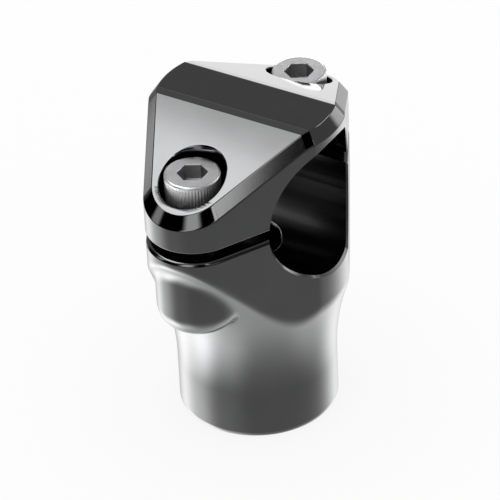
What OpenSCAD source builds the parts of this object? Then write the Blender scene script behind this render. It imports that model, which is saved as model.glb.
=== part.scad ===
// Handlebar riser: a turned post that opens into the lower half of a split
// bar clamp, a bolted cap over it and the two socket screws that close it.
// X runs along the handlebar, -Y is the front, +Z is up, and the origin is
// the centre of the base. All sizes are in millimetres.

/* [Handlebar clamp] */
// Diameter of the handlebar that the clamp takes
bar_d = 28.6; // [25.4:0.1:31.8]
// Height of the handlebar's centre above the base
bar_height = 49.5; // [47:0.5:60]
// Gap between the cap and the body while the bar is held
clamp_gap = 2.3; // [1.2:0.1:3]
// Diameter of the clamp's turned ends, its length along the bar
clamp_d = 37.2; // [36:0.2:42]
// Width of each turned end between the slanted side faces
end_w = 11; // [9:0.1:13]
// Wall left between the bar's bore and the screw holes
bore_wall = 1.7; // [1.2:0.1:3]
// Wall left around the pocket of each screw head
ear_rim = 3; // [2.6:0.1:5]
// Width of the chamfer round the edge of the bar's seat
seat_chamfer = 0.5; // [0.3:0.1:1]

/* [Cap] */
// Thickness of the cap over the top of the bar
crown = 3.9; // [3.2:0.1:7]
// Width of the bevel on each side of the strip
strip_bevel = 1.4; // [0.4:0.1:1.8]
// Angle at which the roof falls away to the front and the rear
roof_angle = 25; // [15:1:28]
// Width of the chamfer round the edge of the cap's roof
cap_chamfer = 1.7; // [0.8:0.1:2.2]
// Height of the chamfer round the edge of the cap's roof
cap_chamfer_h = 2.4; // [0.8:0.1:3]
// Thickness of the cap under each screw head
ear_t = 5.65; // [4.5:0.05:7]

/* [Body] */
// Diameter of the post
post_d = 31; // [28:0.1:34]
// Height at which the post starts to flare out
flare_z = 10; // [4:0.5:12]
// Radius of the flare
flare_r = 54; // [45:1:65]
// Steepest lean of the flare from upright
flare_angle = 32; // [28:1:36]
// Step from the clamp's wall in to the lug under each screw
lug_step = 1.2; // [0.6:0.1:2]
// Radius round the bottom of each lug
lug_round = 5; // [3:0.5:6]
// Thickness of each lug under its tapped hole
lug_floor = 4; // [3:0.1:7]
// Chamfer round the body's top edge
top_chamfer = 0.7; // [0.3:0.1:1]
// Chamfer round the foot of the post
foot_chamfer = 0.4; // [0.2:0.1:1]

/* [Clamp screws] */
// Thread diameter of the clamp screws
screw_d = 6; // [5:0.5:6]
// Length of each screw under its head
screw_len = 20; // [18:1:22]
// Diameter of the screw heads
head_d = 10.4; // [9.5:0.1:10.8]
// Height of the screw heads
head_h = 6; // [5:0.1:7]
// Size of the hexagon key
key_af = 5; // [4:0.5:5]
// Depth of the hexagon socket
key_depth = 3; // [2:0.1:4]
// Space round each head in its pocket
pocket_clear = 1; // [0.4:0.1:1.2]
// Space round each screw in the cap
hole_clear = 0.3; // [0.1:0.05:0.5]

/* [Mounting bolt] */
// Diameter inside the thread that takes the mounting bolt
bolt_hole_d = 10.8; // [8:0.1:12]

/* [Hidden] */
$fn = 96;

// Radial clearance of the screws in their tapped holes
thread_clear = 0.05;
// Space under a screw's tip with the cap fully closed, and the drill's point
tip_room = 0.8;
drill_angle = 118;
// Break of the screws' head edge and tip, and of the holes' mouths
head_round = 0.7;
tip_chamfer = 0.8;
mouth_chamfer = 0.4;
// How far the cutting and clipping shapes run past what they shape
over = 1;
// How far the chamfer's turned end stands out, so that its corners miss the wall's
corner_spare = 0.05;
// How far the ears stand out past the faces they touch, so that the two cross
ear_spare = 0.002;
// Facets in the chamfers' quarter turns and in the seat's edge
arc_steps = 16;
seat_steps = 40;

bar_r = bar_d / 2;
hole_r = screw_d / 2 + hole_clear;
screw_y = bar_r + bore_wall + hole_r;
pocket_r = head_d / 2 + pocket_clear;
ear_r = pocket_r + ear_rim;
body_top = bar_height - clamp_gap / 2;
cap_bottom = bar_height + clamp_gap / 2;
cap_top = bar_height + bar_r + crown;
head_z = cap_bottom + ear_t;
tip_z = head_z - screw_len;
tapped_z = tip_z - clamp_gap - tip_room;
lug_r = ear_r - lug_step;
lug_z = tapped_z - lug_floor;

// The plan's upper right corner, where the turned end meets the slanted face
end_r = clamp_d / 2;
corner = [sqrt(end_r * end_r - end_w * end_w / 4), end_w / 2];
// Direction in which the slanted face looks, so that it touches the ear
reach = [-corner.x, screw_y - corner.y];
face_angle = atan2(reach.y, reach.x) - asin(ear_r / norm(reach)) - 90;
face_dist = screw_y * sin(face_angle) + ear_r;

function dir(a) = [cos(a), sin(a)];
function arc(c, r, a, b, n) = [for (i = [0:n]) c + r * dir(a + (b - a) * i / n)];
function mirrored(pts) = [for (i = [len(pts) - 1:-1:0]) [-pts[i].x, pts[i].y]];
function turned(pts) = [for (p = pts) -p];

// Half of the angle that the turned end spans with the wall moved in by c
function end_angle(c) = face_angle - acos((face_dist - c) / (end_r + corner_spare - c));
// The strip along the cap's top runs into the corners of the chamfered ends
strip_y = (end_r + corner_spare - cap_chamfer) * sin(end_angle(cap_chamfer));
// Point at a height y of the plan on the slanted face moved in by c
function face_point(c, y) = [(face_dist - c - y * sin(face_angle)) / cos(face_angle), y];
// Where the strip's bevel meets the chamfer, carried square out of the face
function bevel_point(c) =
    face_point(cap_chamfer, strip_y + strip_bevel) + (cap_chamfer - c) * dir(face_angle);
// A quarter of the plan moved in by c: turned end, slanted face, and the ear's
// flats, which touch its round from outside
ear_step = (90 - face_angle) / arc_steps;
function quarter(c) = concat(
    arc([0, 0], end_r + corner_spare - c, 0, end_angle(c), arc_steps / 2),
    [bevel_point(c)],
    arc([0, screw_y], (ear_r - c) / cos(ear_step / 2), face_angle + ear_step / 2, 90 - ear_step / 2, arc_steps - 1));
function half(c) = concat(quarter(c), mirrored(quarter(c)));
function without_last(pts) = [for (i = [0:len(pts) - 2]) pts[i]];
function plan(c) = concat(without_last(half(c)), without_last(turned(half(c))));

// The roof's height at a distance y from the middle
function cap_roof(y) =
    let (run = abs(y) - strip_y, fall = tan(roof_angle))
    cap_top - (run < 0 ? 0 : run < strip_bevel ? run * fall / 2 : (run - strip_bevel / 2) * fall);
function body_roof(y) = body_top;
function roof_height(y, sloped) = sloped ? cap_roof(y) : body_roof(y);

// The clamp's upright wall, exact: slanted faces, turned ends and ears
module plan_wall(z0, z1) {
    tangent = [0, screw_y] + ear_r * dir(face_angle);
    tip = face_point(0, 0);
    // Between its two crossings with the slanted face the turned end lies outside it
    mid_y = face_dist * sin(face_angle);
    translate([0, 0, z0])
        linear_extrude(z1 - z0) {
            intersection() {
                polygon([tip, tangent, [-tangent.x, tangent.y], -tip, -tangent, [tangent.x, -tangent.y]]);
                union() {
                    circle(r = end_r);
                    for (s = [-1, 1])
                        translate([-end_r, s > 0 ? mid_y : -screw_y - ear_r])
                            square([2 * end_r, screw_y + ear_r - mid_y]);
                }
            }
            for (s = [-1, 1]) translate([0, s * screw_y]) circle(r = ear_r + ear_spare);
        }
}

// A solid that ends in the roof with a chamfer of width c and height h round
// it, and is wider than the plan below that
module roof(z0, c, h, sloped) {
    wall = plan(0);
    inner = plan(c);
    // Each chamfer line runs on through the wall's own outline
    outer = [for (i = [0:len(wall) - 1]) wall[i] + (wall[i] - inner[i]) * over / c];
    n = len(inner);
    across = 2 * len(quarter(0)) - 1;
    heights = [for (p = inner) roof_height(p.y, sloped)];
    points = concat(
        [for (p = outer) [p.x, p.y, z0]],
        [for (i = [0:n - 1]) [outer[i].x, outer[i].y, heights[i] - (c + over) * h / c]],
        [for (i = [0:n - 1]) [inner[i].x, inner[i].y, heights[i]]]);
    // The numbers of the points of a quarter where the strip and its bevel end
    s = arc_steps / 2;
    b = s + 1;
    strip = concat([for (i = [-s:s]) (i + n) % n + 2 * n], [for (i = [across - s:across + s]) i + 2 * n]);
    faces = concat(
        [[for (i = [0:n - 1]) i]],
        [for (i = [0:n - 1], k = [0, n]) let (j = (i + 1) % n) [k + i, k + n + i, k + n + j]],
        [for (i = [0:n - 1], k = [0, n]) let (j = (i + 1) % n) [k + i, k + n + j, k + j]],
        [[for (i = [len(strip) - 1:-1:0]) strip[i]]],
        [for (k = [0, across]) [for (i = [across - b:-1:b]) (i + k) % n + 2 * n]],
        [for (k = [0, across]) [for (i = [b, s, across - s, across - b]) (i + k) % n + 2 * n]]);
    polyhedron(points, faces);
}

// What the bar fills: its bore along X
module bar_bore() {
    translate([-end_r - over, 0, bar_height])
        rotate([0, 90, 0]) cylinder(r = bar_r, h = 2 * (end_r + over));
}

// Distance along the bar at which the clamp's wall lies for a place y
function wall_x(y) = abs(y) < corner.y ? sqrt(end_r * end_r - y * y) : face_point(0, abs(y)).x;

// The cut that chamfers the edge of the seat on the +X side
module seat_edge_cut() {
    n = seat_steps;
    function rim(r, dx) = [for (i = [0:n]) let (y = r * cos(-180 * i / n))
        [wall_x(y) + dx, y, bar_height + r * sin(-180 * i / n)]];
    lid = [for (ring = [[bar_r - over, over], [bar_r + seat_chamfer + over, over],
                        [bar_r - over, -seat_chamfer - over]]) rim(ring[0], ring[1])];
    points = concat(lid[0], lid[1], lid[2]);
    m = n + 1;
    faces = concat(
        [for (i = [0:n - 1], k = [0:2]) let (a = k * m + i, b = (k + 1) % 3 * m + i) [a, b, b + 1]],
        [for (i = [0:n - 1], k = [0:2]) let (a = k * m + i, b = (k + 1) % 3 * m + i) [a, b + 1, a + 1]],
        [[2 * m, m, 0], [n, m + n, 2 * m + n]]);
    polyhedron(points, faces);
}

// The post and its flare, turned about Z
module turned_flare() {
    post_r = post_d / 2;
    bend = arc([post_r + flare_r, flare_z], flare_r, 180, 180 - flare_angle, 24);
    bend_end = bend[len(bend) - 1];
    rise = body_top + over - bend_end.y;
    rotate_extrude()
        polygon(concat(
            [[0, 0], [post_r - foot_chamfer, 0], [post_r, foot_chamfer]],
            bend,
            [[bend_end.x + rise * tan(flare_angle), body_top + over], [0, body_top + over]]));
}

// The round lug that carries the tapped hole under a screw
module lug() {
    rotate_extrude()
        polygon(concat([[0, lug_z]],
            arc([lug_r - lug_round, lug_z + lug_round], lug_round, -90, 0, 12),
            [[lug_r, body_top + over], [0, body_top + over]]));
}

// A drilled and tapped hole with its drill point and its chamfered mouth
module tapped_hole() {
    r = screw_d / 2 + thread_clear;
    rotate_extrude()
        polygon([[0, tapped_z - r / tan(drill_angle / 2)], [r, tapped_z], [r, body_top - mouth_chamfer],
                 [r + mouth_chamfer + over, body_top + over], [0, body_top + over]]);
}

// The hole for the mounting bolt, from the foot up into the bar's bore
module bolt_hole() {
    r = bolt_hole_d / 2;
    rotate_extrude()
        polygon([[0, -over], [r + foot_chamfer + over, -over], [r, foot_chamfer], [r, bar_height], [0, bar_height]]);
}

module riser_body() {
    color([0.16, 0.16, 0.17])
    difference() {
        intersection() {
            union() {
                turned_flare();
                for (s = [-1, 1]) translate([0, s * screw_y, 0]) lug();
            }
            plan_wall(0, body_top);
            roof(-over, top_chamfer, top_chamfer, false);
        }
        bar_bore();
        for (a = [0, 180]) rotate([0, 0, a]) seat_edge_cut();
        for (s = [-1, 1]) translate([0, s * screw_y, 0]) tapped_hole();
        bolt_hole();
    }
}

module clamp_cap() {
    color([0.1, 0.1, 0.11])
    difference() {
        intersection() {
            plan_wall(cap_bottom, cap_top);
            roof(cap_bottom - over, cap_chamfer, cap_chamfer_h, true);
        }
        bar_bore();
        for (s = [-1, 1])
            translate([0, s * screw_y, 0]) {
                translate([0, 0, cap_bottom - over]) cylinder(r = hole_r, h = ear_t + 2 * over);
                translate([0, 0, head_z]) cylinder(r = pocket_r, h = cap_top - head_z);
            }
    }
}

module clamp_screw(y) {
    r = screw_d / 2;
    head_r = head_d / 2;
    color([0.75, 0.75, 0.77])
    translate([0, y, head_z])
        difference() {
            rotate_extrude()
                polygon(concat(
                    [[0, -screw_len], [r - tip_chamfer, -screw_len], [r, -screw_len + tip_chamfer], [r, 0], [head_r, 0]],
                    arc([head_r - head_round, head_h - head_round], head_round, 0, 90, 6),
                    [[0, head_h]]));
            translate([0, 0, head_h - key_depth])
                cylinder(d = key_af / cos(30), h = key_depth + over, $fn = 6);
        }
}

module front_clamp_screw() { clamp_screw(-screw_y); }
module rear_clamp_screw() { clamp_screw(screw_y); }

riser_body();
clamp_cap();
front_clamp_screw();
rear_clamp_screw();
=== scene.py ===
"""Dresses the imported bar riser: smooth forged body, faceted cap and socket screws, in a light tent.

Lengths are in millimetres up to the moment a mesh is made, and the frame is the CAD's:
X along the bar, -Y the front, +Z up, origin at the centre of the foot.
"""
import math

import bpy
import numpy as np
from mathutils import Matrix, Vector

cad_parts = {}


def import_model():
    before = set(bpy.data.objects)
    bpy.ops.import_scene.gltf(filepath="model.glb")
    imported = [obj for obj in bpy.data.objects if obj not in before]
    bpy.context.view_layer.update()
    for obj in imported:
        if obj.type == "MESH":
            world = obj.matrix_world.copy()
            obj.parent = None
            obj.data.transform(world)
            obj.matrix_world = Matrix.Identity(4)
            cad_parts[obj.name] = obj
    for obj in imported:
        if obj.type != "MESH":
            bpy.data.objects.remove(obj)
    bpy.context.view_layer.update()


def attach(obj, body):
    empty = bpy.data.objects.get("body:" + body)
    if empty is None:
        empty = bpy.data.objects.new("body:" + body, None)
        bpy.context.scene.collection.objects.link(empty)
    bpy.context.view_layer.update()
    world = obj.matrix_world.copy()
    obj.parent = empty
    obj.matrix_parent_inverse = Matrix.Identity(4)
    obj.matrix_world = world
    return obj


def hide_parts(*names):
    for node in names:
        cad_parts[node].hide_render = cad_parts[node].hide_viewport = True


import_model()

MM = 0.001
TAU = 2 * math.pi

# The part's sizes, as in the CAD source
BAR_R = 14.3
BAR_Z = 49.5
GAP = 2.3
END_R = 18.6
END_W = 11.0
SCREW_Y = 19.3
EAR_R = 9.2
CROWN = 3.9
STRIP_BEVEL = 1.4
ROOF_FALL = math.tan(math.radians(25))
CHAMFER_W = 1.7
CHAMFER_H = 2.4
EAR_T = 5.65
POST_R = 15.5
FLARE_Z = 10.0
FLARE_R = 54.0
FLARE_LEAN = math.radians(32)
LUG_R = 8.0
LUG_ROUND = 5.0
LUG_Z = 29.2
SEAT_CHAMFER = 0.5
TOP_CHAMFER = 0.7
FOOT_CHAMFER = 0.4
BOLT_R = 5.4
POCKET_R = 6.2
HOLE_R = 3.3
TAP_R = 3.05
SCREW_LEN = 20.0
HEAD_R = 5.2
HEAD_H = 6.0
KEY_AF = 5.0
KEY_DEPTH = 3.0

BODY_TOP = BAR_Z - GAP / 2
CAP_BOTTOM = BAR_Z + GAP / 2
CAP_TOP = BAR_Z + BAR_R + CROWN
HEAD_Z = CAP_BOTTOM + EAR_T
TIP_Z = HEAD_Z - SCREW_LEN
TAPPED_Z = TIP_Z - GAP - 0.8

# The plan's corner between a turned end and a slanted face, and that face's plane
CORNER = np.array([math.sqrt(END_R**2 - END_W**2 / 4), END_W / 2])
_reach = np.array([-CORNER[0], SCREW_Y - CORNER[1]])
FACE_A = math.atan2(_reach[1], _reach[0]) - math.asin(EAR_R / np.hypot(*_reach)) - math.pi / 2
FACE_D = SCREW_Y * math.sin(FACE_A) + EAR_R
FACE_N = np.array([math.cos(FACE_A), math.sin(FACE_A)])


# ---------------------------------------------------------------- meshes

def make(name, verts, faces, smooth_angle=None):
    """An object from points in millimetres."""
    me = bpy.data.meshes.new(name)
    me.from_pydata((np.asarray(verts, float) * MM).tolist(), [], faces)
    me.validate()
    me.update()
    ob = bpy.data.objects.new(name, me)
    bpy.context.scene.collection.objects.link(ob)
    if smooth_angle is not None:
        smooth(ob, smooth_angle)
    return ob


def evaluated(ob, mod):
    """Puts the outcome of the object's one modifier in place of its mesh."""
    bpy.context.view_layer.update()
    me = bpy.data.meshes.new_from_object(ob.evaluated_get(bpy.context.evaluated_depsgraph_get()))
    ob.modifiers.remove(mod)
    old, ob.data = ob.data, me
    me.name = ob.name
    bpy.data.meshes.remove(old)


def smooth(ob, angle):
    """Smooth shading up to an angle, in which the larger faces stay flat."""
    me = ob.data
    me.polygons.foreach_set("use_smooth", [True] * len(me.polygons))
    me.set_sharp_from_angle(angle=math.radians(angle))
    mod = ob.modifiers.new("normals", "WEIGHTED_NORMAL")
    mod.keep_sharp = True
    mod.weight = 80
    evaluated(ob, mod)


def grid_faces(rows, cols, closed=True, start=0, flip=False):
    """Quads between rows of points numbered row by row."""
    out = []
    span = cols if closed else cols - 1
    for r in range(rows - 1):
        a0, b0 = start + r * cols, start + (r + 1) * cols
        for c in range(span):
            d = (c + 1) % cols
            q = (a0 + c, a0 + d, b0 + d, b0 + c)
            out.append(q[::-1] if flip else q)
    return out


def tube(name, rings, closed):
    """A cutter swept along a rim: rings holds one row of points for each corner of its section."""
    rings = [np.asarray(r, float) for r in rings]
    k, n = len(rings), len(rings[0])
    verts = np.stack(rings, 1).reshape(-1, 3)
    faces = []
    for i in range(n if closed else n - 1):
        a, b = i * k, ((i + 1) % n) * k
        for c in range(k):
            d = (c + 1) % k
            faces.append((a + c, a + d, b + d, b + c))
    if not closed:
        faces += [tuple(range(k))[::-1], tuple(range((n - 1) * k, n * k))]
    ob = make(name, verts, faces)
    outward(ob)
    return ob


def outward(ob):
    """Turns all faces outward."""
    import bmesh
    bm = bmesh.new()
    bm.from_mesh(ob.data)
    bmesh.ops.recalc_face_normals(bm, faces=bm.faces)
    bm.to_mesh(ob.data)
    bm.free()


def lathe(name, profile, centre=(0, 0), steps=128, axis="Z"):
    """A solid turned about an upright axis, or about X through the bar's centre."""
    a = np.arange(steps) / steps * TAU
    rows = []
    for r, h in profile:
        if axis == "Z":
            rows.append(np.stack([centre[0] + r * np.cos(a), centre[1] + r * np.sin(a), np.full(steps, h)], 1))
        else:
            rows.append(np.stack([np.full(steps, h), r * np.cos(a), BAR_Z + r * np.sin(a)], 1))
    faces = grid_faces(len(rows), steps)
    n = len(rows) * steps
    faces += [tuple(range(steps))[::-1], tuple(range(n - steps, n))]
    ob = make(name, np.concatenate(rows), faces)
    outward(ob)
    return ob


def cut(ob, tool, kind="DIFFERENCE"):
    mod = ob.modifiers.new("cut", "BOOLEAN")
    mod.object = tool
    mod.operation = kind
    mod.solver = "MANIFOLD"
    evaluated(ob, mod)
    if not ob.data.polygons:
        raise RuntimeError(f"{ob.name}: the cut with {tool.name} made nothing")
    bpy.data.objects.remove(tool)


def curve(a, b, c, n):
    """n + 1 rows from a to c, rounding off the corner b."""
    return [(1 - t)**2 * a + 2 * t * (1 - t) * b + t * t * c for t in np.linspace(0, 1, n + 1)]


# ---------------------------------------------------------------- plan

def wall_x(y):
    """Distance along the bar at which the clamp's wall lies."""
    y = np.abs(y)
    return np.where(y < CORNER[1], np.sqrt(np.maximum(END_R**2 - y * y, 0)), (FACE_D - y * FACE_N[1]) / FACE_N[0])


def end_angle(c):
    return FACE_A - math.acos((FACE_D - c) / (END_R - c))


STRIP_Y = (END_R - CHAMFER_W) * math.sin(end_angle(CHAMFER_W))
BEVEL_Y = STRIP_Y + STRIP_BEVEL


def cap_roof(y, soft=0.15):
    """The roof's height, with its two creases on each side eased over a short width."""
    def bend(t):
        return np.where(t < -soft, 0, np.where(t > soft, t, (t + soft)**2 / (4 * soft)))
    y = np.abs(y)
    return CAP_TOP - ROOF_FALL / 2 * (bend(y - STRIP_Y) + bend(y - BEVEL_Y))


def quarter(c, end_t, face_y, ear_t):
    """A quarter of the plan moved in by c: turned end, slanted face, ear. The face's points lie square
    in from places on the strip's side of the chamfer, so that creases run straight across it."""
    ea = end_angle(c)
    pts = [(END_R - c) * np.array([math.cos(t * ea), math.sin(t * ea)]) for t in end_t]
    for y in face_y:
        x = (FACE_D - CHAMFER_W - y * FACE_N[1]) / FACE_N[0]
        pts.append(np.array([x, y]) + (CHAMFER_W - c) * FACE_N)
    for t in ear_t:
        a = FACE_A + t * (math.pi / 2 - FACE_A)
        pts.append(np.array([0, SCREW_Y]) + (EAR_R - c) * np.array([math.cos(a), math.sin(a)]))
    return np.array(pts)


def ring(c, end_t, face_y, ear_t):
    """The whole plan moved in by c, anticlockwise from +X."""
    q = quarter(c, end_t, face_y, ear_t)
    half = np.concatenate([q, (q * [-1, 1])[-2::-1]])
    return np.concatenate([half[:-1], -half[:-1]])


# ---------------------------------------------------------------- riser body

def smax(a, b, k):
    h = np.maximum(k - np.abs(a - b), 0) / k
    return np.maximum(a, b) + h * h * k / 4


def plan_distance(x, y):
    x, y = np.abs(x), np.abs(y)
    face = x * FACE_N[0] + y * FACE_N[1] - FACE_D
    end = np.hypot(x, y) - END_R
    ear = np.hypot(x, y - SCREW_Y) - EAR_R
    on_ear = np.arctan2(y - SCREW_Y, x) > FACE_A
    return np.where(on_ear, ear, np.where(y < CORNER[1], np.maximum(face, end), face))


def flare_distance(r, z):
    """Distance to the turned post and its flare."""
    top = FLARE_Z + FLARE_R * math.sin(FLARE_LEAN)
    lean = np.arcsin(np.clip((z - FLARE_Z) / FLARE_R, 0, math.sin(FLARE_LEAN)))
    radius = POST_R + FLARE_R * (1 - np.cos(lean)) + np.maximum(z - top, 0) * math.tan(FLARE_LEAN)
    return (r - radius) * np.cos(lean)


def lug_distance(x, y, z):
    rho = np.hypot(x, np.abs(y) - SCREW_Y)
    u = rho - (LUG_R - LUG_ROUND)
    v = (LUG_Z + LUG_ROUND) - z
    return np.hypot(np.maximum(u, 0), np.maximum(v, 0)) + np.minimum(np.maximum(u, v), 0) - LUG_ROUND


CREASE_SOFT = 0.45
LUG_SOFT = 1.1


def body_distance(x, y, z):
    shell = smax(plan_distance(x, y), flare_distance(np.hypot(x, y), z), CREASE_SOFT)
    return -smax(-shell, -lug_distance(x, y, z), LUG_SOFT)


def body_skin():
    """The body's outside. Each point is found along a line that leaves the axis downward at 45 degrees,
    which meets the walls, the flare and the lugs' undersides once each."""
    end_t = np.linspace(0, 1, 9)
    ang = [math.atan2(p[1], p[0]) for p in quarter(0, end_t, [], [])]
    ang += list(np.linspace(ang[-1], math.pi / 2, 76)[1:])
    ang = np.array(ang)
    half = np.concatenate([ang, (math.pi - ang)[-2::-1]])
    ang = np.concatenate([half[:-1], half[:-1] + math.pi])
    s = np.concatenate([np.linspace(POST_R + FOOT_CHAMFER, 34, 36)[:-1], np.linspace(34, 78, 180)])
    A, S = np.meshgrid(ang, s)
    lo, hi = np.full(A.shape, 4.0), np.full(A.shape, 42.0)
    for _ in range(44):
        mid = (lo + hi) / 2
        out = body_distance(mid * np.cos(A), mid * np.sin(A), S - mid) > 0
        hi = np.where(out, mid, hi)
        lo = np.where(out, lo, mid)
    rho = (lo + hi) / 2
    P = np.stack([rho * np.cos(A), rho * np.sin(A), S - rho], -1)
    n = len(ang)
    foot = []
    for t in (0, 0.5, 1):
        r = POST_R - FOOT_CHAMFER * (1 - math.sin(t * math.pi / 2))
        foot.append(np.stack([r * np.cos(ang), r * np.sin(ang), np.full(n, FOOT_CHAMFER * (1 - math.cos(t * math.pi / 2)))], 1))
    rows = np.concatenate([np.array(foot)[:-1], P])
    verts = rows.reshape(-1, 3)
    faces = grid_faces(len(rows), n)
    faces.append(tuple(range(n))[::-1])
    verts = np.concatenate([verts, [[0, 0, 78.0]]])
    last = (len(rows) - 1) * n
    faces += [(last + i, last + (i + 1) % n, len(verts) - 1) for i in range(n)]
    ob = make("riser_skin", verts, faces)
    outward(ob)
    return ob


def top_cutter():
    """What the body keeps below its top face, with a rounded edge."""
    end_t, face_y, ear_t = np.linspace(0, 1, 13), [BEVEL_Y], np.linspace(0, 1, 33)
    rows = []
    prof = [(-2, -8.0), (-2, BODY_TOP - TOP_CHAMFER - 0.35)]
    r = TOP_CHAMFER + 0.15
    prof += [(r * (1 - math.cos(a)), BODY_TOP - r * (1 - math.sin(a))) for a in np.linspace(0.12, math.pi / 2, 7)]
    for c, z in prof:
        p = ring(c, end_t, face_y, ear_t)
        rows.append(np.column_stack([p, np.full(len(p), z)]))
    n = len(rows[0])
    faces = grid_faces(len(rows), n)
    faces += [tuple(range(n))[::-1], tuple(range((len(rows) - 1) * n, len(rows) * n))]
    ob = make("top_cutter", np.concatenate(rows), faces)
    outward(ob)
    return ob


def rim_cutter(name, c, a0, a1, side, n=97, over=1.0):
    """A cutter that chamfers the bore's edge by c on one end of the clamp, from angle a0 to a1 about the bar."""
    sections = [(-c - 0.7 * over, -0.7 * over), (0.7 * over, c + 0.7 * over), (over, -over)]
    a = np.linspace(a0, a1, n)
    rings = []
    for dx, dr in sections:
        y = (BAR_R + dr) * np.cos(a)
        rings.append(np.stack([side * (wall_x(y) + dx), y, BAR_Z + (BAR_R + dr) * np.sin(a)], 1))
    return tube(name, rings, False)


def hole_rim_cutter(name, r, centre_y, height, c, n=96, over=0.8):
    """A cutter that rounds the edge of an upright hole of radius r by c. height(x, y) is the face it opens in."""
    a = np.arange(n) / n * TAU
    rings = []
    for dr, dz in ((-over * 0.259, -c - 0.966 * over), (0, -c), (0.134 * c, -0.5 * c), (0.5 * c, -0.134 * c), (c, 0),
                   (c + 0.966 * over, 0.259 * over), (-over, over)):
        x, y = (r + dr) * np.cos(a), centre_y + (r + dr) * np.sin(a)
        rings.append(np.stack([x, y, height(x, y) + dz], 1))
    return tube(name, rings, True)


def seat_height(x, y):
    return BAR_Z - np.sqrt(BAR_R**2 - y * y)


def riser_body():
    ob = body_skin()
    cut(ob, top_cutter(), "INTERSECT")
    cut(ob, lathe("bore", [(BAR_R, -30), (BAR_R, 30)], steps=240, axis="X"))
    for side in (-1, 1):
        cut(ob, rim_cutter("seat_rim", SEAT_CHAMFER, math.pi * 0.96, math.pi * 2.04, side))
    cut(ob, lathe("bolt_hole", [(BOLT_R, -2), (BOLT_R, 45)]))
    cut(ob, hole_rim_cutter("bolt_rim", BOLT_R, 0, seat_height, 0.35))
    cut(ob, lathe("bolt_mouth", [(BOLT_R + 1.6, -1), (BOLT_R - 0.4, 1)]))
    for s in (-1, 1):
        cut(ob, lathe("tapped", [(0.02, TAPPED_Z - 1.8), (TAP_R, TAPPED_Z), (TAP_R, BODY_TOP - 0.4), (TAP_R + 0.9, BODY_TOP + 0.5)],
                      centre=(0, s * SCREW_Y), steps=64))
    ob.name = ob.data.name = "riser_form"
    smooth(ob, 24)
    return ob


# ---------------------------------------------------------------- cap

def cap_solid():
    w = 0.15
    end_t = list(np.linspace(0, 1, 11))
    y0 = (END_R - CHAMFER_W - 0.3) * math.sin(end_angle(CHAMFER_W + 0.3))
    face_y = [STRIP_Y + w * k for k in (-0.5, 0, 0.5, 1)] + [BEVEL_Y + w * k for k in (-1, -0.5, 0, 0.5, 1)]
    face_y = [y for y in face_y if y > y0 + 0.03]
    ear_t = np.linspace(0, 1, 41)
    args = (end_t, face_y, ear_t)
    outer, inner = ring(0, *args), ring(CHAMFER_W, *args)
    top = cap_roof(inner[:, 1])
    low = top - CHAMFER_H
    E, B = 0.14, 0.12

    def at(c):
        """A point of the chamfer's plane, or of the roof past it."""
        p = ring(c, *args)
        z = low + CHAMFER_H * c / CHAMFER_W if c <= CHAMFER_W else cap_roof(p[:, 1])
        return np.column_stack([p, z])

    under = ring(E, *args)
    wall = np.column_stack([outer, low - E])
    flat = np.full(len(outer), CAP_BOTTOM)
    rows = curve(np.column_stack([under, flat]), np.column_stack([outer, flat]), np.column_stack([outer, flat + E]), 4)
    rows += curve(wall, at(0), at(B), 4)
    rows += curve(at(CHAMFER_W - B), at(CHAMFER_W), at(CHAMFER_W + B), 4)
    n = len(outer)
    verts = np.concatenate(rows)
    faces = grid_faces(len(rows), n)
    q = n // 4
    # Strips across the top and the bottom between points at the same distance from the middle
    for base, flip in (((len(rows) - 1) * n, False), (0, True)):
        for i in range(-q, q):
            a, b = i % n, (i + 1) % n
            c, d = (2 * q - i) % n, (2 * q - i - 1) % n
            f = [base + v for v in dict.fromkeys((a, b, d, c))]
            faces.append(tuple(f[::-1] if flip else f))
    ob = make("cap_solid", verts, faces)
    outward(ob)
    return ob


def clamp_cap():
    ob = cap_solid()
    cut(ob, lathe("bore", [(BAR_R, -30), (BAR_R, 30)], steps=240, axis="X"))
    for side in (-1, 1):
        cut(ob, rim_cutter("cap_rim", 0.28, -0.02, math.pi + 0.02, side))
    for s in (-1, 1):
        cut(ob, lathe("hole", [(HOLE_R, CAP_BOTTOM - 2), (HOLE_R, HEAD_Z + 2)], centre=(0, s * SCREW_Y), steps=96))
        cut(ob, lathe("pocket", [(POCKET_R, HEAD_Z), (POCKET_R, CAP_TOP + 2)], centre=(0, s * SCREW_Y), steps=160))
        cut(ob, hole_rim_cutter("pocket_rim", POCKET_R, s * SCREW_Y, lambda x, y: cap_roof(y), 0.28, n=160))
    ob.name = ob.data.name = "cap_form"
    smooth(ob, 24)
    return ob


# ---------------------------------------------------------------- screws

KNURLS = 56
THREAD_PITCH = 1.0
SOCKET_R = KEY_AF / 2 / math.cos(math.pi / 6) + 0.2


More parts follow.
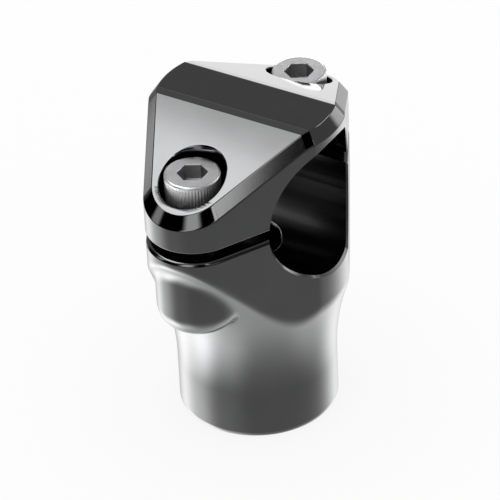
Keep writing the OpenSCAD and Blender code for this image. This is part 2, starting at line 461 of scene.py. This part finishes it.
def clamp_screw(name, y):
    """A socket head screw: knurled head, broached hexagon, rolled thread."""
    cols = KNURLS * 4
    a = np.arange(cols) / cols * TAU
    hexagon = KEY_AF / 2 / np.cos((a + math.pi / 6) % (math.pi / 3) - math.pi / 6)
    ridge = np.abs((np.arange(cols) % 4) - 2) / 2
    core = np.full(cols, 1.0)
    top = HEAD_H
    rows = [(0.02 * core, top - KEY_DEPTH - 0.9), (hexagon * 0.985, top - KEY_DEPTH), (hexagon, top - KEY_DEPTH + 0.1),
            (hexagon, top - 0.1), (hexagon + 0.08, top), (hexagon + 0.12, top)]
    rim = 0.4
    rows += [(SOCKET_R * core, top), ((HEAD_R - rim - 0.06) * core, top), ((HEAD_R - rim) * core, top)]
    for t in (0.2, 0.4, 0.6, 0.8, 1):
        g = t * math.pi / 2
        rows.append(((HEAD_R - rim + rim * math.sin(g)) * core, top - rim * (1 - math.cos(g))))
    depth = 0.1
    for z, share in ((top - 0.6, 0), (top - 0.85, 0.8), (top - 1.05, 1), (0.55, 1), (0.38, 0.6), (0.3, 0)):
        rows.append((HEAD_R - depth * share * ridge, z))
    rows += [((HEAD_R - 0.05) * core, 0.12), ((HEAD_R - 0.2) * core, 0), (3.2 * core, 0), (3.0 * core, -0.2)]
    amp = 0.3
    z = -0.4
    while z > -SCREW_LEN + 0.9:
        phase = (z / THREAD_PITCH - a / TAU) % 1
        fade = min(1, (-0.4 - z) / 1.0)
        tooth = np.clip(np.abs(phase - 0.5) * 2.5 - 0.1, 0, 1)
        rows.append((2.98 - amp * tooth * fade, z))
        z -= THREAD_PITCH / 9
    for t in (0.3, 0.7, 1):
        rows.append(((2.75 - 0.5 * t) * core, -SCREW_LEN + 0.75 * (1 - t)))
    rows.append((0.02 * core, -SCREW_LEN))
    P = []
    for r, h in rows:
        h = np.broadcast_to(h, (cols,))
        P.append(np.stack([r * np.cos(a), y + r * np.sin(a), HEAD_Z + h], 1))
    faces = grid_faces(len(P), cols)
    n = len(P) * cols
    faces += [tuple(range(cols))[::-1], tuple(range(n - cols, n))]
    ob = make(name, np.concatenate(P), faces)
    outward(ob)
    smooth(ob, 32)
    return ob


# ---------------------------------------------------------------- materials

def material(name):
    m = bpy.data.materials.new(name)
    m.use_nodes = True
    nt = m.node_tree
    return m, nt, nt.nodes["Principled BSDF"]


def node(nt, kind, **values):
    n = nt.nodes.new(kind)
    for k, v in values.items():
        if hasattr(n, k):
            setattr(n, k, v)
        else:
            n.inputs[k.replace("_", " ")].default_value = v
    return n


def maths(nt, operation, *values):
    m = node(nt, "ShaderNodeMath", operation=operation)
    for k, v in enumerate(values):
        if isinstance(v, (int, float)):
            m.inputs[k].default_value = v
        else:
            nt.links.new(v, m.inputs[k])
    return m.outputs[0]


def places(nt, coord):
    """x, y and z in millimetres."""
    axes = node(nt, "ShaderNodeSeparateXYZ")
    nt.links.new(coord.outputs["Object"], axes.inputs[0])
    return [maths(nt, "MULTIPLY", axes.outputs[k], 1000.0) for k in range(3)]


def every(nt, *tests):
    """1 where all the tests hold. A test is a value, LESS_THAN or GREATER_THAN, and a limit."""
    total = 1.0
    for value, operation, limit in tests:
        total = maths(nt, "MULTIPLY", total, maths(nt, operation, value, limit))
    return total


def tinted(nt, color, where, other):
    mix = node(nt, "ShaderNodeMixRGB")
    nt.links.new(where, mix.inputs[0])
    nt.links.new(color, mix.inputs[1])
    mix.inputs[2].default_value = [*other, 1]
    return mix.outputs[0]


def anodised(name, color, rough, grain=1.0):
    """Black anodised aluminium: a dark metal with the fine tooth that blasting and the anodic film leave."""
    m, nt, bsdf = material(name)
    bsdf.inputs["Metallic"].default_value = 1.0
    coord = node(nt, "ShaderNodeTexCoord")
    cloud = node(nt, "ShaderNodeTexNoise", Scale=180.0, Detail=3.0)
    fine = node(nt, "ShaderNodeTexNoise", Scale=5200.0, Detail=2.0)
    for n in (cloud, fine):
        nt.links.new(coord.outputs["Object"], n.inputs["Vector"])
    shade = node(nt, "ShaderNodeValToRGB")
    shade.color_ramp.elements[0].position, shade.color_ramp.elements[1].position = 0.35, 0.65
    shade.color_ramp.elements[0].color = [c * 0.975 for c in color] + [1]
    shade.color_ramp.elements[1].color = [c * 1.025 for c in color] + [1]
    nt.links.new(cloud.outputs["Fac"], shade.inputs["Fac"])
    nt.links.new(shade.outputs["Color"], bsdf.inputs["Base Color"])
    gloss = node(nt, "ShaderNodeMapRange")
    gloss.inputs["To Min"].default_value, gloss.inputs["To Max"].default_value = rough * 0.95, rough * 1.05
    nt.links.new(cloud.outputs["Fac"], gloss.inputs["Value"])
    nt.links.new(gloss.outputs["Result"], bsdf.inputs["Roughness"])
    bump = node(nt, "ShaderNodeBump", Strength=0.04 * grain, Distance=0.00002)
    nt.links.new(fine.outputs["Fac"], bump.inputs["Height"])
    nt.links.new(bump.outputs["Normal"], bsdf.inputs["Normal"])
    return m


def bright_steel(name, color, rough, side_rough):
    """Zinc-bright screw steel with faint turning marks, and painted shade darkening the inside of the key socket."""
    m, nt, bsdf = material(name)
    bsdf.inputs["Metallic"].default_value = 1.0
    coord = node(nt, "ShaderNodeTexCoord")
    cloud = node(nt, "ShaderNodeTexNoise", Scale=420.0, Detail=4.0)
    nt.links.new(coord.outputs["Object"], cloud.inputs["Vector"])
    shade = node(nt, "ShaderNodeValToRGB")
    shade.color_ramp.elements[0].position, shade.color_ramp.elements[1].position = 0.3, 0.7
    shade.color_ramp.elements[0].color = [c * 0.9 for c in color] + [1]
    shade.color_ramp.elements[1].color = list(color) + [1]
    nt.links.new(cloud.outputs["Fac"], shade.inputs["Fac"])
    x, y, z = places(nt, coord)
    off = maths(nt, "SUBTRACT", maths(nt, "ABSOLUTE", y), SCREW_Y)
    r = maths(nt, "SQRT", maths(nt, "ADD", maths(nt, "POWER", maths(nt, "ABSOLUTE", x), 2.0),
                                maths(nt, "POWER", maths(nt, "ABSOLUTE", off), 2.0)))
    # Painted shade: the inside of the key socket is tinted to 0.34 grey, standing in for the shade its walls mirror.
    painted_socket_shade = every(nt, (r, "LESS_THAN", SOCKET_R), (z, "GREATER_THAN", HEAD_Z + HEAD_H - KEY_DEPTH - 1),
                   (z, "LESS_THAN", HEAD_Z + HEAD_H - 0.12))
    nt.links.new(tinted(nt, shade.outputs["Color"], painted_socket_shade, (0.34, 0.34, 0.345)), bsdf.inputs["Base Color"])
    gloss = node(nt, "ShaderNodeMapRange")
    gloss.inputs["To Min"].default_value, gloss.inputs["To Max"].default_value = rough * 0.85, rough * 1.2
    nt.links.new(cloud.outputs["Fac"], gloss.inputs["Value"])
    below = maths(nt, "MULTIPLY", maths(nt, "LESS_THAN", z, HEAD_Z + HEAD_H - 0.04), side_rough)
    nt.links.new(maths(nt, "ADD", gloss.outputs["Result"], below), bsdf.inputs["Roughness"])
    bump = node(nt, "ShaderNodeBump", Strength=0.06, Distance=0.00002)
    nt.links.new(cloud.outputs["Fac"], bump.inputs["Height"])
    nt.links.new(bump.outputs["Normal"], bsdf.inputs["Normal"])
    return m


BODY_BLACK = anodised("body_anodised", (0.085, 0.0855, 0.0866), 0.16)
CAP_BLACK = anodised("cap_anodised", (0.085, 0.0855, 0.0866), 0.06)
STEEL = bright_steel("screw_steel", (0.64, 0.64, 0.65), 0.22, 0.2)


def dress(ob, mat, body, node_name):
    ob.data.materials.clear()
    ob.data.materials.append(mat)
    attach(ob, body)
    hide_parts(node_name)


dress(riser_body(), BODY_BLACK, "riser", "riser_body")
dress(clamp_cap(), CAP_BLACK, "cap", "clamp_cap")
dress(clamp_screw("front_screw_form", -SCREW_Y), STEEL, "front_screw", "front_clamp_screw")
dress(clamp_screw("rear_screw_form", SCREW_Y), STEEL, "rear_screw", "rear_clamp_screw")


# ---------------------------------------------------------------- camera

PSI, EL, ROLL = math.radians(36.09), math.radians(33.97), math.radians(4.89)
EYE = Vector((269.2, -427.3, 391.1)) * MM
AIM = Vector((0.0, -1.0, 33.5)) * MM


def set_camera():
    F = Vector((-math.sin(PSI) * math.cos(EL), math.cos(PSI) * math.cos(EL), -math.sin(EL)))
    R0 = Vector((math.cos(PSI), math.sin(PSI), 0))
    D0 = F.cross(R0)
    R = math.cos(ROLL) * R0 + math.sin(ROLL) * D0
    # The photograph's camera, turned by the least amount that brings the riser to the middle
    turn = F.rotation_difference((AIM - EYE).normalized())
    f, r = turn @ F, turn @ R
    up = r.cross(f)
    cam = bpy.data.cameras.new("camera")
    cam.sensor_width = 36
    cam.lens = 36 * 2103 / 500 * 1.55
    cam.clip_start, cam.clip_end = 0.05, 20
    ob = bpy.data.objects.new("camera", cam)
    ob.matrix_world = Matrix.Translation(EYE) @ Matrix((r, up, -f)).transposed().to_4x4()
    bpy.context.scene.collection.objects.link(ob)
    bpy.context.scene.camera = ob


set_camera()


# ---------------------------------------------------------------- stage and light

def stage():
    """A pale floor that shows white to the camera and keeps the part's shadow."""
    s = 1600.0
    floor = make("floor", [(-s, -s, -0.05), (s, -s, -0.05), (s, s, -0.05), (-s, s, -0.05)], [(0, 1, 2, 3)])
    m, nt, bsdf = material("floor_white")
    bsdf.inputs["Base Color"].default_value = (0.94, 0.94, 0.94, 1)
    bsdf.inputs["Roughness"].default_value = 0.9
    bsdf.inputs["Specular IOR Level"].default_value = 0.0
    white = node(nt, "ShaderNodeEmission", Strength=1.0)
    path = node(nt, "ShaderNodeLightPath")
    share = node(nt, "ShaderNodeMath", operation="MULTIPLY")
    share.inputs[1].default_value = 0.84
    mix = node(nt, "ShaderNodeMixShader")
    nt.links.new(path.outputs["Is Camera Ray"], share.inputs[0])
    nt.links.new(share.outputs[0], mix.inputs[0])
    nt.links.new(bsdf.outputs[0], mix.inputs[1])
    nt.links.new(white.outputs[0], mix.inputs[2])
    nt.links.new(mix.outputs[0], nt.nodes["Material Output"].inputs["Surface"])
    floor.data.materials.append(m)
    floor.visible_glossy = False


# What the polished faces mirror. Lobes are wide pools of light on the studio's floor and sides: azimuth and
# elevation of the middle, how tight, how bright. Cards have an azimuth and an elevation range with soft ends.
ROOM = 0.45
LOBES = [(211, -52, 34, 6.6), (252, -59, 27, 2.6), (27, -60, 31, 1.2), (177, -44, 18, 3.8), (330, -80, 9, 1.5),
         (73, -42, 13.5, 2.35), (0, -90, 0.1, 0.19)]
DARK = (270, 88, 14, -22, 44, 9)         # black cloth round the front: middle, half width, fade; from, to, fade
CARDS = [
    ((206, 42, 4, 48, 84, 3), 3.1),       # softbox high on the left
    ((206, 29.6, 0.5, 48, 84, 3), 4.0),   # and its bright middle
    ((119, 6, 3, -26, -3, 4), 1.3),      # backdrop low behind
    ((119, 9, 4, 1, 23, 4), 3.3),         # and its bright upper part
    ((168.9, 0.5, 0.5, -12, 8, 5), 1.5),  # its left edge
    ((66, 6, 8, -6, 12, 4), 2.9),         # strip light at the right rear
    ((140, 10, 6, 51, 72, 4), 0.2),
    ((130, 4, 3, 41, 45, 2), 0.9),        # slit between the softboxes
    ((338, 14, 5, 0, 24, 3), 0.5),        # low card at the right front
    ((52, 13, 4, 27, 34, 3), 6.5),        # card on the right, mirrored by the seat's lower edge
    ((216, 4, 6, 2, 46, 4), 1.9),         # strip lights at the front
    ((280, 7, 12, 2, 46, 4), 3.0),
    ((325.7, 2.7, 1.1, 28, 46, 4), 4.4),
]


def world():
    w = bpy.data.worlds.new("studio")
    bpy.context.scene.world = w
    w.use_nodes = True
    nt = w.node_tree
    nt.nodes.clear()
    link = nt.links.new
    direction = node(nt, "ShaderNodeTexCoord").outputs["Generated"]
    axes = node(nt, "ShaderNodeSeparateXYZ")
    link(direction, axes.inputs[0])

    def calc(operation, *values):
        return maths(nt, operation, *values)

    def ramp(value, lo, hi):
        """0 below lo, 1 above hi, smooth between; the other way round where lo is above hi."""
        m = node(nt, "ShaderNodeMapRange", interpolation_type="SMOOTHSTEP")
        m.inputs["From Min"].default_value, m.inputs["From Max"].default_value = min(lo, hi), max(lo, hi)
        if lo > hi:
            m.inputs["To Min"].default_value, m.inputs["To Max"].default_value = 1, 0
        link(value, m.inputs["Value"])
        return m.outputs["Result"]

    azimuth = calc("ARCTAN2", axes.outputs["Y"], axes.outputs["X"])
    elevation = calc("ARCSINE", axes.outputs["Z"])

    def window(middle, half, fade, low, high, end_fade):
        turn = calc("ABSOLUTE", calc("WRAP", calc("SUBTRACT", azimuth, math.radians(middle)), math.pi, -math.pi))
        across = ramp(turn, math.radians(half + fade), math.radians(half))
        bottom = ramp(elevation, math.radians(low - end_fade), math.radians(low))
        top = ramp(elevation, math.radians(high + end_fade), math.radians(high))
        return calc("MULTIPLY", across, calc("MULTIPLY", bottom, top))

    total = calc("MULTIPLY", calc("SUBTRACT", 1, window(*DARK)), ROOM)
    for az, el, tight, level in LOBES:
        a, e = math.radians(az), math.radians(el)
        dot = node(nt, "ShaderNodeVectorMath", operation="DOT_PRODUCT")
        link(direction, dot.inputs[0])
        dot.inputs[1].default_value = (math.cos(e) * math.cos(a), math.cos(e) * math.sin(a), math.sin(e))
        lobe = calc("POWER", calc("MAXIMUM", dot.outputs["Value"], 0), tight)
        total = calc("ADD", total, calc("MULTIPLY", calc("MULTIPLY", lobe, level), ramp(elevation, math.radians(-8), math.radians(-28))))
    for place, level in CARDS:
        total = calc("ADD", total, calc("MULTIPLY", window(*place), level))

    out = node(nt, "ShaderNodeOutputWorld")
    path = node(nt, "ShaderNodeLightPath")
    plain = node(nt, "ShaderNodeBackground", Strength=1.0)
    plain.inputs["Color"].default_value = (1, 1, 1, 1)
    seen = node(nt, "ShaderNodeBackground")
    seen.inputs["Color"].default_value = (1, 1, 1, 1)
    link(total, seen.inputs["Strength"])
    mix = node(nt, "ShaderNodeMixShader")
    link(path.outputs["Is Glossy Ray"], mix.inputs[0])
    link(plain.outputs[0], mix.inputs[1])
    link(seen.outputs[0], mix.inputs[2])
    link(mix.outputs[0], out.inputs["Surface"])


stage()
world()

bpy.context.scene.view_settings.view_transform = "Standard"
